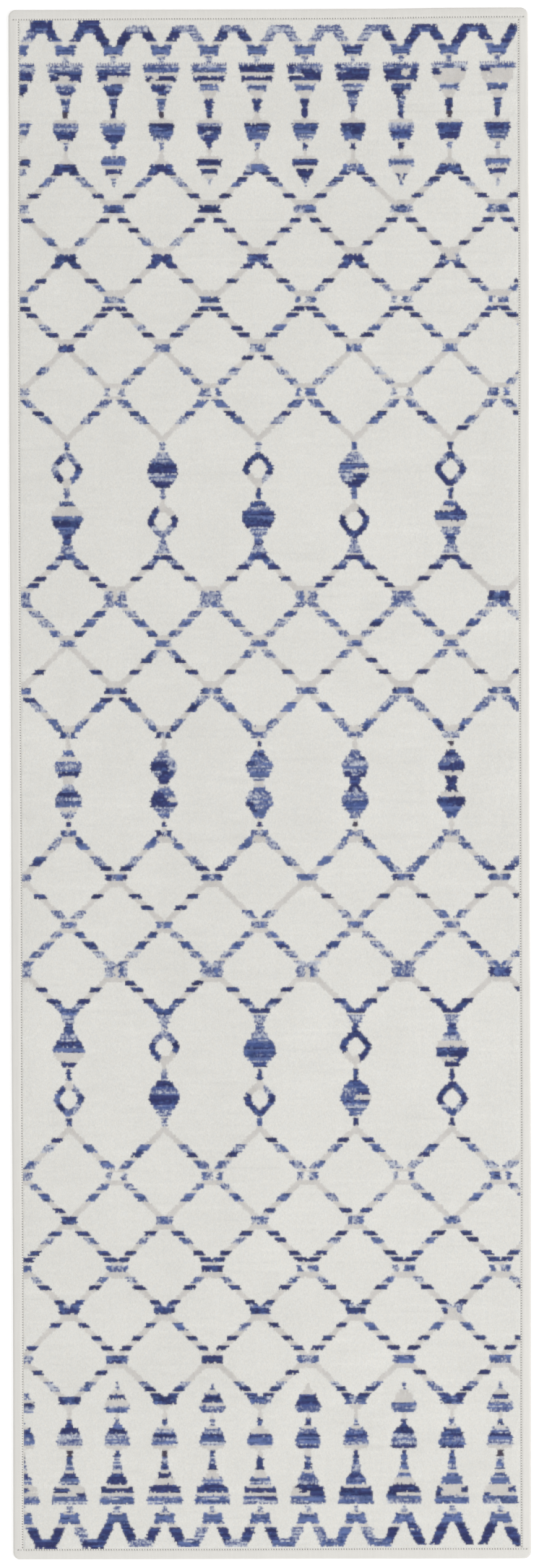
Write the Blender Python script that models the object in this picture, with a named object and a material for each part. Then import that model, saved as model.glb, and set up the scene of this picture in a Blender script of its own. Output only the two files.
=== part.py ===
"""Runner rug: a low cut pile on a woven ground with a latex back coat, bound on all four sides with
folded tape that is lockstitched down.

Frame: metres, +Z up. The origin is on the floor under the middle of the rug, +Y runs along the rug's
length and +X across its width.

Each layer is a plain plate stacked from the floor up with CLEARANCE between neighbours. The tapes are one
C-shaped section carried along the edges: straight along the two sides, and round both rounded corners at
the two ends. A size that is changed below carries through every piece that lies on, in or under it.
"""

import math

import bmesh
import bpy
from mathutils import Matrix, Vector

# Overall sizes
RUG_WIDTH = 0.610
RUG_LENGTH = 1.829
CORNER_RADIUS = 0.0085

# Thickness of each layer
COAT_THICKNESS = 0.0004
LOWER_WEFT_THICKNESS = 0.0004
STUFFER_WARP_THICKNESS = 0.0004
UPPER_WEFT_THICKNESS = 0.0004
PILE_HEIGHT = 0.0030
PRESSED_PILE_HEIGHT = 0.0012
PILE_EDGE_ROUNDING = 0.0005

# Binding tape and the thread that holds it
TAPE_THICKNESS = 0.0005
TAPE_LEG = 0.0126
FOLD_RADIUS = 0.0022
STITCH_MARGIN = 0.0012
STITCH_END_INSET = 0.0050
THREAD_DIAMETER = 0.0003

# Fits and facets
CLEARANCE = 0.0003
FIELD_CORNER_RADIUS = 0.0006
CORNER_STEPS = 8
FOLD_STEPS = 4
THREAD_SIDES = 8

# Heights, from the floor up
TAPE_BOTTOM = THREAD_DIAMETER + CLEARANCE
COAT_RIM_BOTTOM = TAPE_BOTTOM + TAPE_THICKNESS + CLEARANCE
COAT_TOP = COAT_RIM_BOTTOM + COAT_THICKNESS
LOWER_WEFT_BOTTOM = COAT_TOP + CLEARANCE
LOWER_WEFT_TOP = LOWER_WEFT_BOTTOM + LOWER_WEFT_THICKNESS
STUFFER_WARP_BOTTOM = LOWER_WEFT_TOP + CLEARANCE
STUFFER_WARP_TOP = STUFFER_WARP_BOTTOM + STUFFER_WARP_THICKNESS
UPPER_WEFT_BOTTOM = STUFFER_WARP_TOP + CLEARANCE
UPPER_WEFT_TOP = UPPER_WEFT_BOTTOM + UPPER_WEFT_THICKNESS
PILE_ROOT = UPPER_WEFT_TOP + CLEARANCE
PRESSED_PILE_TOP = PILE_ROOT + PRESSED_PILE_HEIGHT
PILE_TOP = PILE_ROOT + PILE_HEIGHT
TAPE_TOP = PRESSED_PILE_TOP + CLEARANCE + TAPE_THICKNESS
NEEDLE_THREAD_HEIGHT = TAPE_TOP + CLEARANCE + THREAD_DIAMETER / 2
BOBBIN_THREAD_HEIGHT = THREAD_DIAMETER / 2

# Distances in from the rug's outer edge
FIELD_INSET = TAPE_LEG + CLEARANCE
STITCH_INSET = TAPE_LEG - STITCH_MARGIN

# Colour, roughness and metallic value of each material
FINISHES = {
    "pile_yarn": ((0.69, 0.68, 0.64, 1.0), 0.95, 0.0),
    "ground_weft": ((0.52, 0.43, 0.30, 1.0), 0.9, 0.0),
    "stuffer_warp": ((0.66, 0.63, 0.56, 1.0), 0.85, 0.0),
    "latex_coat": ((0.60, 0.56, 0.47, 1.0), 0.6, 0.0),
    "binding_tape": ((0.70, 0.69, 0.65, 1.0), 0.9, 0.0),
    "sewing_thread": ((0.74, 0.73, 0.69, 1.0), 0.6, 0.0),
}


def clear_scene():
    for thing in list(bpy.data.objects):
        bpy.data.objects.remove(thing)


def make_material(name):
    colour, roughness, metallic = FINISHES[name]
    material = bpy.data.materials.new(name)
    material.use_nodes = True
    shader = material.node_tree.nodes["Principled BSDF"]
    shader.inputs["Base Color"].default_value = colour
    shader.inputs["Roughness"].default_value = roughness
    shader.inputs["Metallic"].default_value = metallic
    material.diffuse_color = colour
    return material


def add_object(name, body, material):
    """Turns a finished bmesh into a named object with its own material."""
    bmesh.ops.recalc_face_normals(body, faces=body.faces)
    mesh = bpy.data.meshes.new(name)
    body.to_mesh(mesh)
    body.free()
    mesh.materials.append(material)
    thing = bpy.data.objects.new(name, mesh)
    bpy.context.scene.collection.objects.link(thing)
    return thing


def inset_inside_fold(height):
    """How far in from the rug's outer edge a point at this height clears the inside of the fold.

    The fold's inner face is a quarter circle at the top and at the bottom, with a straight wall between.
    """
    room = FOLD_RADIUS - TAPE_THICKNESS - CLEARANCE
    below = TAPE_BOTTOM + FOLD_RADIUS - height
    above = height - (TAPE_TOP - FOLD_RADIUS)
    beyond = max(below, above, 0.0)
    return FOLD_RADIUS - math.sqrt(max(room**2 - beyond**2, 0.0))


def layer_inset(bottom, top):
    """How far a layer between these heights stays in from the rug's edge to clear the folded tape."""
    return max(inset_inside_fold(bottom), inset_inside_fold(top))


def rounded_rectangle(inset):
    """The rug's plan drawn in by inset: four corner arcs, anticlockwise from the +X +Y corner."""
    radius = max(CORNER_RADIUS - inset, FIELD_CORNER_RADIUS)
    centre_x = RUG_WIDTH / 2 - inset - radius
    centre_y = RUG_LENGTH / 2 - inset - radius
    points = []
    for quarter, (side_x, side_y) in enumerate(((1, 1), (-1, 1), (-1, -1), (1, -1))):
        for step in range(CORNER_STEPS + 1):
            angle = (quarter + step / CORNER_STEPS) * math.pi / 2
            points.append(
                (
                    side_x * centre_x + radius * math.cos(angle),
                    side_y * centre_y + radius * math.sin(angle),
                )
            )
    return points


def make_plate(name, rings, material):
    """A closed plate through rings of (inset, height), listed from the bottom face to the top face."""
    body = bmesh.new()
    loops = [
        [body.verts.new((x, y, height)) for x, y in rounded_rectangle(inset)]
        for inset, height in rings
    ]
    body.faces.new(reversed(loops[0]))
    body.faces.new(loops[-1])
    for lower, upper in zip(loops, loops[1:]):
        for i in range(len(lower)):
            j = (i + 1) % len(lower)
            body.faces.new((lower[i], lower[j], upper[j], upper[i]))
    return add_object(name, body, material)


def make_layer(name, bottom, top, material):
    inset = layer_inset(bottom, top)
    return make_plate(name, ((inset, bottom), (inset, top)), material)


def make_pile(material):
    """Full height in the open field, pressed down along the margin that the tape covers."""
    margin = layer_inset(PILE_ROOT, PRESSED_PILE_TOP)
    rings = (
        (margin, PILE_ROOT),
        (margin, PRESSED_PILE_TOP),
        (FIELD_INSET, PRESSED_PILE_TOP),
        (FIELD_INSET, PILE_TOP - PILE_EDGE_ROUNDING),
        (FIELD_INSET + PILE_EDGE_ROUNDING, PILE_TOP),
    )
    return make_plate("pile_field", rings, material)


def make_back_coat(material):
    """The coat lies on the floor between the tapes, and its rim steps up over them."""
    rim = layer_inset(COAT_RIM_BOTTOM, COAT_TOP)
    rings = (
        (FIELD_INSET, 0.0),
        (FIELD_INSET, COAT_RIM_BOTTOM),
        (rim, COAT_RIM_BOTTOM),
        (rim, COAT_TOP),
    )
    return make_plate("back_coat", rings, material)


def fold_arc(radius, centre_height, start):
    """Quarter turn of the fold about (FOLD_RADIUS, centre_height), as points of (inset, height)."""
    points = []
    for step in range(FOLD_STEPS + 1):
        angle = start + step / FOLD_STEPS * math.pi / 2
        points.append(
            (
                FOLD_RADIUS + radius * math.cos(angle),
                centre_height + radius * math.sin(angle),
            )
        )
    return points


def tape_section():
    """The closed C section of the tape, as points of (inset, height): outer face, then inner face."""
    high = TAPE_TOP - FOLD_RADIUS
    low = TAPE_BOTTOM + FOLD_RADIUS
    inner_radius = FOLD_RADIUS - TAPE_THICKNESS
    outer = fold_arc(FOLD_RADIUS, high, math.pi / 2) + fold_arc(FOLD_RADIUS, low, math.pi)
    inner = fold_arc(inner_radius, high, math.pi / 2) + fold_arc(inner_radius, low, math.pi)
    outer = [(TAPE_LEG, TAPE_TOP)] + outer + [(TAPE_LEG, TAPE_BOTTOM)]
    inner = (
        [(TAPE_LEG, TAPE_TOP - TAPE_THICKNESS)]
        + inner
        + [(TAPE_LEG, TAPE_BOTTOM + TAPE_THICKNESS)]
    )
    return outer + inner[::-1]


def side_route(inset):
    """Straight along the +X side, stopping at the end tapes."""
    reach = RUG_LENGTH / 2 - TAPE_LEG - CLEARANCE
    across = RUG_WIDTH / 2 - inset
    return [(across, -reach), (across, reach)]


def end_route(inset):
    """Round the +Y end and both its corners, between the two points where the side tapes stop."""
    start = RUG_LENGTH / 2 - TAPE_LEG
    radius = max(CORNER_RADIUS - inset, 0.0)
    centre_x = RUG_WIDTH / 2 - inset - radius
    centre_y = RUG_LENGTH / 2 - inset - radius
    corner = [
        (
            centre_x + radius * math.cos(step / CORNER_STEPS * math.pi / 2),
            centre_y + radius * math.sin(step / CORNER_STEPS * math.pi / 2),
        )
        for step in range(CORNER_STEPS + 1)
    ]
    near = [(RUG_WIDTH / 2 - inset, start)] + corner
    return near + [(-x, y) for x, y in reversed(near)]


def make_tape(name, route, turn, material):
    """Carries the tape's section along a route, then turns the piece about +Z to its own edge."""
    body = bmesh.new()
    grid = [
        [body.verts.new((x, y, height)) for x, y in route(inset)]
        for inset, height in tape_section()
    ]
    for i, here in enumerate(grid):
        there = grid[(i + 1) % len(grid)]
        for j in range(len(here) - 1):
            body.faces.new((here[j], here[j + 1], there[j + 1], there[j]))
    body.faces.new([row[0] for row in grid])
    body.faces.new([row[-1] for row in reversed(grid)])
    bmesh.ops.remove_doubles(body, verts=body.verts, dist=1e-6)
    bmesh.ops.rotate(body, verts=body.verts, matrix=Matrix.Rotation(turn, 3, "Z"))
    return add_object(name, body, material)


def make_thread(name, start, end, material):
    """One line of thread as a straight bar between two points."""
    start, end = Vector(start), Vector(end)
    body = bmesh.new()
    bmesh.ops.create_cone(
        body,
        cap_ends=True,
        segments=THREAD_SIDES,
        radius1=THREAD_DIAMETER / 2,
        radius2=THREAD_DIAMETER / 2,
        depth=(end - start).length,
    )
    thing = add_object(name, body, material)
    thing.rotation_mode = "QUATERNION"
    thing.rotation_quaternion = (end - start).to_track_quat("Z", "X")
    thing.location = (start + end) / 2
    thing.data.shade_smooth()
    thing.data.set_sharp_from_angle(angle=math.radians(50))
    return thing


def make_thread_lines(kind, height, material):
    """Four lines of one thread: each side line stops short of the two end lines that cross it."""
    along = RUG_LENGTH / 2 - STITCH_INSET
    across = RUG_WIDTH / 2 - STITCH_INSET
    side_reach = along - THREAD_DIAMETER - CLEARANCE
    end_reach = RUG_WIDTH / 2 - STITCH_END_INSET
    for edge, x in (("left", -across), ("right", across)):
        make_thread(f"{kind}_thread_{edge}", (x, -side_reach, height), (x, side_reach, height), material)
    for edge, y in (("near_end", -along), ("far_end", along)):
        make_thread(f"{kind}_thread_{edge}", (-end_reach, y, height), (end_reach, y, height), material)


def main():
    clear_scene()
    materials = {name: make_material(name) for name in FINISHES}
    make_back_coat(materials["latex_coat"])
    make_layer("lower_weft", LOWER_WEFT_BOTTOM, LOWER_WEFT_TOP, materials["ground_weft"])
    make_layer("stuffer_warp", STUFFER_WARP_BOTTOM, STUFFER_WARP_TOP, materials["stuffer_warp"])
    make_layer("upper_weft", UPPER_WEFT_BOTTOM, UPPER_WEFT_TOP, materials["ground_weft"])
    make_pile(materials["pile_yarn"])
    tape = materials["binding_tape"]
    make_tape("binding_right", side_route, 0.0, tape)
    make_tape("binding_left", side_route, math.pi, tape)
    make_tape("binding_far_end", end_route, 0.0, tape)
    make_tape("binding_near_end", end_route, math.pi, tape)
    make_thread_lines("needle", NEEDLE_THREAD_HEIGHT, materials["sewing_thread"])
    make_thread_lines("bobbin", BOBBIN_THREAD_HEIGHT, materials["sewing_thread"])


main()
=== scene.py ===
"""Looks of the trellis runner rug: knotted pile, woven ground, folded binding tape and lockstitching.

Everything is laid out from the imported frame, in metres, +Y along the rug and +X across it. Each piece is a
surface worked out with numpy: rows and columns of points from two parameters, or a section carried along an
edge of the rug.
"""

import bmesh
import bpy
import numpy as np
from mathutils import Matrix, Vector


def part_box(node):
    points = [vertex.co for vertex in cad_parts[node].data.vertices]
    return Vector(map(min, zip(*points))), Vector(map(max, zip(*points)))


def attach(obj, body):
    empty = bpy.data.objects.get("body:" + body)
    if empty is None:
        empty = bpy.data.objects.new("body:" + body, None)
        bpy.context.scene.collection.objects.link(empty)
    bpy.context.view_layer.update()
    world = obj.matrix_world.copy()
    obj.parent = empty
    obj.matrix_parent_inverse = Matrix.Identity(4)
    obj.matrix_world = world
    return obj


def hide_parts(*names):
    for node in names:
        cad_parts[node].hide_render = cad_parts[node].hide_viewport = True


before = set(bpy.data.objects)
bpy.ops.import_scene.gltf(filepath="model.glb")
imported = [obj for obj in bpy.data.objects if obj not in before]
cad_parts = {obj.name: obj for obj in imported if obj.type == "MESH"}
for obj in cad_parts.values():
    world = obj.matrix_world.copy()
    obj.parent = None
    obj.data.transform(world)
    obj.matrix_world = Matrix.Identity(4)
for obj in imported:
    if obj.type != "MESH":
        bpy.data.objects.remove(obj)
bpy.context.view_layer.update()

# The rug's outline and heights, from the frame
OUTER_LOW, OUTER_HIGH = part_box("binding_far_end")
HALF_WIDTH = OUTER_HIGH.x
HALF_LENGTH = OUTER_HIGH.y
TAPE_TOP = OUTER_HIGH.z
TAPE_BOTTOM = OUTER_LOW.z
TAPE_LEG = HALF_LENGTH - OUTER_LOW.y
PILE_ROOT, PILE_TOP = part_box("pile_field")[0].z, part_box("pile_field")[1].z
THREAD_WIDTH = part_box("bobbin_thread_left")[1].z
STITCH_INSET = HALF_WIDTH - (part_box("needle_thread_right")[0].x + THREAD_WIDTH / 2)
STITCH_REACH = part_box("needle_thread_far_end")[1].x

# Tape
TAPE_THICKNESS = 0.0005
FOLD_RADIUS = 0.0022
CORNER_RADIUS = 0.0085
GAP = 0.0003
TAPE_LIFT = 0.00035
SWELL_START = 0.0012
SWELL_WIDTH = 0.0102
SWELL_HEIGHT = 0.00046
RIPPLE_HEIGHT = 0.00006
CORNER_ROWS = 19
ARC_ROWS = 12

# Stitches: their length, how far they dip into their holes, and how far they pull the tape down
STITCH_PITCH = 0.00305
STITCH_DIP = 0.00042
HOLE_DEPTH = 0.00070
GROOVE_DEPTH = 0.00022
GATHER = 0.00018

# Pile: knots across the rug and picks along it
KNOTS = 372
PICKS = 934
STRIPS = 12
MAP_LENGTHS = 6
MAP_WIDTH = 0.90
MAP_EDGE = 0.005
FIELD_INSET = TAPE_LEG + GAP
FIELD_X = HALF_WIDTH - FIELD_INSET
FIELD_Y = HALF_LENGTH - FIELD_INSET
KNOT = 2 * FIELD_X / KNOTS
PICK = 2 * FIELD_Y / PICKS
PILE_SETTLE = 0.00022
TUFT_DEPTH = 0.00042
TUFT_SWAY = 0.0003
EDGE_DROP = 0.00036
EDGE_FALL = 0.0024
EDGE_LAP = 0.00025

# Ground: how deep the grooves between its yarns are
YARN_GROOVE = 0.00010
COAT_GROOVE = 0.00012
RIB_INSET = 0.0031
RIB_HEIGHT = 0.0011

# The trellis, in knots and picks
COLUMN_STEP = 35.87
MIDDLE_COLUMN = -7.6
COLUMN_DRIFT = -0.7
NODE_STEP = 28
LEG_LEAN = COLUMN_STEP / NODE_STEP
HALF_PICKS = PICKS // 2

SEED = 2024

# Yarns: the letter used in the colour plans, and the dyed colour as 8-bit sRGB
YARNS = {
    "i": (222, 221, 216),
    "g": (203, 200, 196),
    "h": (120, 128, 162),
    "b": (92, 107, 152),
    "d": (64, 79, 128),
    "n": (52, 57, 103),
    "c": (72, 66, 84),
    "s": (104, 108, 146),
}
LETTERS = "".join(YARNS)
# The yarn that a single pick takes here and there, as a thin line across a stripe
LINE_YARNS = str.maketrans("hbd", "bhb")
LINE_SHARE = 0.24
LINE_DRAWS = np.random.default_rng(SEED + 5)
HEATHER_PALE = (194, 198, 207)
HEATHER_BLUE = (76, 88, 137)
# Runs of a second yarn inside a first: the two letters, the share, and the knots the runs are shifted by
SHADE_RUNS = (("b", "h", 0.16, 105), ("b", "d", 0.2, 101), ("d", "b", 0.25, 99), ("d", "n", 0.3, 111),
              ("n", "d", 0.26, 101))

# How uneven the weaving is, in knots and shares
RAGGED_ENDS = 0.6
RAGGED_PARTS = 0.25
LEAST_REACH = 0.4
THIN_BAND = 4
MISSED_IN_THIN = 0.04
MISSED = 0.12
REDYED = 0.13


# ---------------------------------------------------------------- weaver's draft


def column_middle(column, picks):
    """The middle knot of a column of motifs, which drifts as the cloth was cut a little off the warp."""
    return KNOTS / 2 + MIDDLE_COLUMN + COLUMN_STEP * column + COLUMN_DRIFT * picks / HALF_PICKS


def lay_band(half, rng, picks, middle, reach, yarns, lined):
    """Fills each pick of a band from middle - reach to middle + reach, split evenly between its yarns.

    The ends of each pick are ragged, and the outermost pick misses some knots. The share of picks given by
    lined runs in the line yarn. A dot in the plan leaves the knots there as they were.
    """
    ragged = reach + rng.uniform(-RAGGED_ENDS, RAGGED_ENDS, picks.size)
    across = (np.arange(KNOTS) + 0.5 - middle[:, None]) / np.maximum(ragged, LEAST_REACH)[:, None]
    part = (across + 1) / 2 * len(yarns) + rng.uniform(-RAGGED_PARTS, RAGGED_PARTS, picks.size)[:, None]
    part = np.clip(part.astype(int), 0, len(yarns) - 1)
    plans = (yarns, yarns.translate(LINE_YARNS))
    letters, line_letters = (np.array([LETTERS.find(x) for x in plan]) for plan in plans)
    crossed = LINE_DRAWS.random((picks.size, 1)) < lined
    chosen = np.where(crossed, line_letters[part], letters[part])
    share = MISSED_IN_THIN if picks.size < THIN_BAND else MISSED
    missed = (picks == picks.max())[:, None] & (rng.random(across.shape) < share)
    inside = (np.abs(across) < 1) & (chosen >= 0) & ~missed
    rows = half[picks]
    rows[inside] = chosen[inside]
    half[picks] = rows


def stripe(half, rng, column, top, bottom, wide_top, wide_bottom, yarns, aside=0.0, lean=0.0, lined=0.0):
    """One stripe of a motif, tapering in a straight line from its top pick to its bottom pick."""
    picks = np.arange(max(round(bottom), 0), min(round(top), HALF_PICKS))
    if picks.size == 0:
        return
    share = (picks + 0.5 - bottom) / (top - bottom)
    reach = wide_bottom + (wide_top - wide_bottom) * share
    middle = column_middle(column, picks) + aside + lean * (top - picks)
    lay_band(half, rng, picks, middle, reach, yarns, lined)


def motif(half, rng, column, stripes, plan):
    """Lays the stripes of a motif one under the other, each in the yarns that the plan gives for it.

    Each runs one pick under the next, so that its yarn shows where the next one misses a knot.
    """
    for (top, bottom, wide_top, wide_bottom), yarns in zip(stripes, plan.split()):
        slant = (wide_top - wide_bottom) / (top - bottom)
        under = 0 if yarns in "g." else 1
        wide_under = wide_bottom - slant * under
        stripe(half, rng, column, top, bottom - under, wide_top, wide_under, yarns, lined=LINE_SHARE)


def redyed(plan, rng):
    """The plan with some letters changed to the next yarn, as no two repeats are woven quite alike."""
    swaps = {"h": "b", "b": "h", "d": "n", "n": "d"}
    return "".join(swaps.get(x, x) if rng.random() < REDYED else x for x in plan)


# Stripes: top pick, bottom pick, half width at the top, half width at the bottom, counted from the middle
SPEARHEAD = (
    (441.0, 439.6, 13.2, 13.6),
    (440.0, 437.4, 13.4, 13.0),
    (437.4, 434.6, 12.8, 12.4),
    (434.6, 432.6, 12.4, 12.0),
    (432.6, 429.6, 12.0, 11.4),
    (429.6, 428.4, 9.5, 8.5),
    (428.4, 424.4, 7.8, 7.2),
    (424.4, 420.6, 6.2, 4.2),
    (420.6, 418.6, 3.4, 3.2),
    (418.6, 414.6, 3.6, 2.6),
    (414.6, 410.6, 2.4, 2.0),
    (410.6, 407.4, 2.2, 1.8),
    (407.4, 405.6, 1.8, 5.0),
)
SPEARHEAD_PLANS = {
    -5: ("s h h nnn n g d nn g . . . .", ". b h g nng g b n g h d g g"),
    -4: ("s h h hnnn ngn g h n g d h c g", ". b bh gggn nngg g b n g h d c g"),
    -3: ("s h dhh n ngg g d n h d d n g", ". b hb g n g n n g h h d g"),
    -2: ("s h b g ngnnn g nnb .nn g d h c g", ". hb b g nnn n g n g d h c g"),
    -1: ("s h b g n g b g g n d d g", ". b b g n n h g g n h d g"),
    0: ("s dnnn n g n g b g g n n g g", ". h dn g n g b g g n d g g"),
    1: ("s nhhh dhnnh ..nn nnn g b g g n n n g", ". hb b ggnn gnnn n h b g d h g g"),
    2: ("s nhhhh hnnn n n g b n h h n g g", ". b hb n n g b n h h d n g"),
    3: ("s hbb nngn nngn n g d nng nh bh d n g", ". h b ngg nnn n g b g b h n g"),
    4: ("s hbh nggggn nggg g g b g g n n c g", ". b h ngggg ngggn g b b g h d d g"),
    5: ("s hb nngggg g g g b g g d d n g", ". hb b ngggg gggn g b b g h h c g"),
}
CUP = (
    (406.4, 404.4, 8.0, 9.4),
    (404.4, 401.6, 9.8, 9.4),
    (401.6, 399.4, 9.4, 9.0),
    (399.4, 396.6, 8.6, 7.8),
    (396.6, 393.6, 7.4, 6.2),
    (393.6, 391.6, 4.2, 3.0),
    (391.6, 387.6, 2.0, 1.6),
    (387.6, 380.6, 1.3, 1.6),
)
CUP_PLANS = {
    -5: ("g h h h g g . .", "g h h n n g h ."),
    -4: ("g h h n n g h g", "g h h h n n d g"),
    -3: ("g h h b n n b g", "g h h h n d h g"),
    -2: ("g n d d b g b g", "g b h n h g d g"),
    -1: ("g h n dhd hnnh n n g", "g h b n b g h g"),
    0: ("g n d b h g b g", "g b h n g g d g"),
    1: ("g n d b h g d g", "n h b n h g n g"),
    2: ("g n d d b g n g", "g h b n b g h g"),
    3: ("g h h n d g n g", "n h h h n n d g"),
    4: ("g d n d n g h g", "n b h n d g h g"),
    5: ("g n d d h g h g", "g h b n h g d g"),
}
ARROWHEAD = (
    (384.4, 382.4, 7.0, 8.6),
    (382.4, 379.6, 9.6, 9.4),
    (379.6, 377.6, 9.4, 8.8),
    (377.6, 375.8, 8.0, 7.2),
    (375.8, 373.0, 6.8, 6.0),
    (373.0, 369.6, 5.2, 2.4),
    (369.6, 365.6, 1.7, 0.9),
)
ARROWHEAD_PLANS = {
    -5: ("g n n g h . .", "b h n g h . ."),
    -3: ("h b b g n g h", "b b g g n g h"),
    -1: ("g n n g n g h", "h h g n n g h"),
    1: ("g d n g n n h", "h h n n n g g"),
    3: ("g b b g g ngn h", "b h b g g g h"),
    5: ("g b b g n g h", "h b h g n g h"),
}
# Zigzag peaks from left to right: the yarns of the left leg, the flat top and the right leg. A capital runs
# on down into the valley, and a dot leaves the peak open.
PEAKS = (
    "hnd dnN Nhn nhh nhn hhh hhh hhn Nnn Nnn Nnn",
    "nnn hnN Nhn nbh nhn nbh hbb hbn N.N N.N nnn",
)
VALLEYS = ("b b b b b b b d b b b", "b b b b b b b b b b b")

BEAD = (
    (20.6, 16.6, 3.4, 5.6),
    (16.6, 13.6, 6.4, 8.6),
    (13.6, 10.6, 9.8, 10.2),
    (10.6, 7.6, 10.2, 9.4),
    (7.6, 4.6, 8.8, 7.4),
    (4.6, 2.4, 5.2, 4.4),
    (2.4, 0.0, 3.8, 3.4),
)
BEAD_PLANS = {
    -4: ("b g h h n g g", "h g b h n h h"),
    -2: ("h h nnh nnh hnn n n", "h h n nng nb b g"),
    0: ("d hb nhh h b h g", "b nbb nhh h h h g"),
    2: ("h hhn h h nhn n n", "h d d h h nhn n"),
    4: ("n h bn n g n n", "d h n dn g n n"),
}
UPPER_SOLID = (
    (203.0, 199.0, 3.8, 6.4),
    (199.0, 196.0, 7.2, 9.4),
    (196.0, 193.4, 10.0, 11.0),
    (193.4, 190.4, 11.6, 11.4),
    (190.4, 187.4, 11.2, 10.4),
    (187.4, 185.4, 10.0, 9.0),
    (185.4, 182.0, 8.4, 5.4),
)
LOWER_SOLID = (
    (173.0, 170.4, 5.0, 5.6),
    (170.4, 167.0, 6.6, 9.6),
    (167.0, 164.0, 11.6, 12.0),
    (164.0, 160.6, 12.0, 11.6),
    (160.6, 157.4, 11.4, 9.6),
    (157.4, 152.6, 7.8, 6.0),
    (152.6, 147.8, 4.0, 3.2),
)
SOLID_PLANS = {
    -4: (LOWER_SOLID, "n g g b n h d"),
    -2: (UPPER_SOLID, "h b n n h h n"),
    0: (LOWER_SOLID, "n h n d n h h"),
    2: (UPPER_SOLID, "h h d hg hd hd n"),
    4: (LOWER_SOLID, "n ggn n d g h d"),
}
# Rings: the pick they are centred on, and their yarns in eight parts, anticlockwise from the right
RING_PLANS = {
    -4: (192.4, "dhhnhngh"),
    -2: (160.8, "nggdnhhh"),
    0: (192.4, "nddnnggh"),
    2: (160.8, "nnggnndn"),
    4: (192.4, "nhdhnnnh"),
}
RING_REACH = (11.8, 11.0)
RING_HOLE = (6.6, 6.2)
RING_SHAPE = 1.35

# Trellis legs: rows of dashes as (top pick, bottom pick, half width, choice of yarns), from node to node
LEG_REACH = 3.1
LONG_LEGS = (
    ((375.0, 372.4, 4.2, "nnng"), (370.6, 368.0, 4.2, "nndh"), (368.0, 365.0, 3.6, "hhh"),
     (361.0, 358.4, 4.2, "nngg")),
    ((346.4, 343.2, 4.2, "nnnn"), (340.0, 337.4, 4.0, "nnng"), (333.6, 329.0, 3.6, "hhbn")),
    ((320.6, 317.4, 3.8, "hhhd"), (317.4, 314.8, 3.8, "nnnn"), (308.6, 305.6, 4.4, "nnnn"),
     (304.6, 301.4, 3.4, "hhhg")),
    ((291.4, 288.8, 4.6, "nnnn"), (287.4, 284.6, 4.2, "nnnn"), (281.4, 276.8, 4.0, "hhbn"),
     (275.8, 272.8, 4.6, "nnnn")),
    ((262.0, 259.4, 4.0, "gggn"), (254.6, 250.2, 3.8, "hhhb"), (248.0, 243.8, 3.8, "hhhg")),
    ((234.6, 230.0, 4.4, "hhhb"), (228.0, 225.0, 4.2, "nnng"), (224.6, 220.4, 4.0, "hhbg"),
     (218.6, 216.0, 4.2, "nngg")),
)
SHORT_LEGS = (
    ((141.6, 136.6, 4.2, "nndb"), (136.6, 133.6, 3.6, "dhh"), (133.4, 130.8, 4.6, "nnnn"),
     (127.2, 124.4, 4.2, "nnng"), (122.4, 119.8, 4.0, "nggg")),
    ((112.0, 107.6, 4.2, "hhhh"), (106.0, 101.6, 4.2, "hhhd"), (100.6, 96.2, 4.2, "hhdb"),
     (94.4, 90.0, 4.0, "hhhd")),
    ((81.6, 77.0, 4.0, "hhhg"), (76.2, 73.6, 4.2, "nggg"), (70.0, 67.0, 4.2, "nnng")),
    ((53.8, 50.0, 4.6, "nhhg"), (49.8, 44.2, 4.2, "hbhd"), (39.6, 36.2, 3.8, "bhh"),
     (36.2, 31.6, 4.6, "hdbh")),
)
# Crossing bars: top pick, bottom pick, half width, and the plan on each column from left to right
LONG_NODES = (
    (379.0, 374.4, 8.6, "dbd nddn dnnd hbbh bhhb dnbd hbh"),
    (353.6, 349.0, 8.2, "bh bddb nnnn bhhb hbbh bhhb h"),
    (324.4, 320.2, 7.8, "nn nnnn nnnd dnnn nnnn nggh nn"),
    (298.4, 294.0, 7.8, "hb bhhb nddn bihb hibh bihb hb"),
    (269.0, 264.4, 6.2, "hh nddn hbbh hhbh bhhb hbbh hh"),
    (241.6, 237.4, 8.0, "hh hiih bhib hihb hiih bdib hh"),
)
SHORT_NODES = (
    (146.0, 141.0, 4.5, "hh hbh hhh hbh hhh hbh hh"),
    (117.6, 112.0, 8.4, "hh hhghh hhhhh hhghh hhhhh nbdn hh"),
    (88.0, 83.6, 6.2, "bh hbbh hhbh hbbh hbbh hhbh bh"),
    (59.2, 54.8, 8.2, "bh nbbn dbhbd hbbh nbbn dbhbd bh"),
    (32.4, 28.0, 6.0, "hb dhd nhd hbh hhh hhh hb"),
)


def leg(half, rng, column, top, side, dashes, pairs):
    """One leg of the trellis, from a node down and out to the node half a repeat away, with its dashes."""
    lean = side * LEG_LEAN
    stripe(half, rng, column, top, top - NODE_STEP, LEG_REACH, LEG_REACH, "g", lean=lean)
    for (high, low, reach, choice), drawn in zip(dashes, pairs):
        letter = choice[drawn if rng.random() < 0.8 else rng.integers(len(choice)) % len(choice)]
        if letter == "n":
            low = round(low)
            high = low + 3
        if letter != "g":
            yarns = letter if letter != "h" else rng.choice(["h", "hb", "bh", "h"])
            slant = lean * (0.55 if letter == "n" else 0.75)
            aside = lean * (top - (high + low) / 2) - slant * (high - low) / 2
            stripe(half, rng, column, high, low, reach, reach, yarns, aside, slant)


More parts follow.
